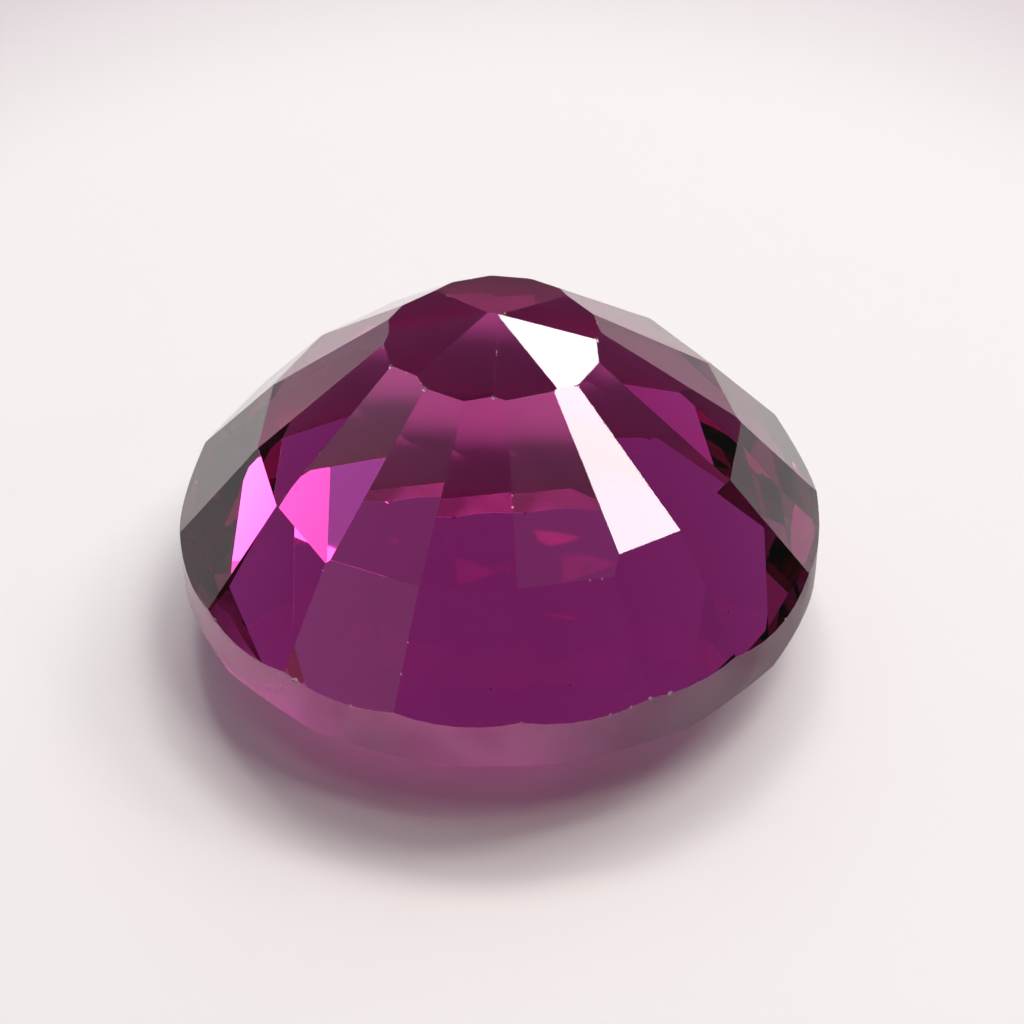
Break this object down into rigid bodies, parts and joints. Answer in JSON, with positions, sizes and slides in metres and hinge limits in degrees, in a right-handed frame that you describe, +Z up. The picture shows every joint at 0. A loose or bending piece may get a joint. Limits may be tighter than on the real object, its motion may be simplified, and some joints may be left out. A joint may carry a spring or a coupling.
{
  "type": "faceted sapphire",
  "caption": "Loose oval faceted gemstone in clear purplish pink corundum, with a flat table that it lies on and a tall faceted pavilion.",
  "frame": {"origin": "centre of the flat table that the stone lies on", "axes": "+X along the stone's length, +Y along its width away from the viewer, +Z up from the table to the culet"},
  "size_m": [0.01, 0.0092, 0.0064],
  "materials": {
    "corundum": "clear polished purplish pink corundum with worn facet edges and a dull girdle"
  },
  "bodies": {
    "root": {"sapphire": "corundum"}
  },
  "joints": []
}
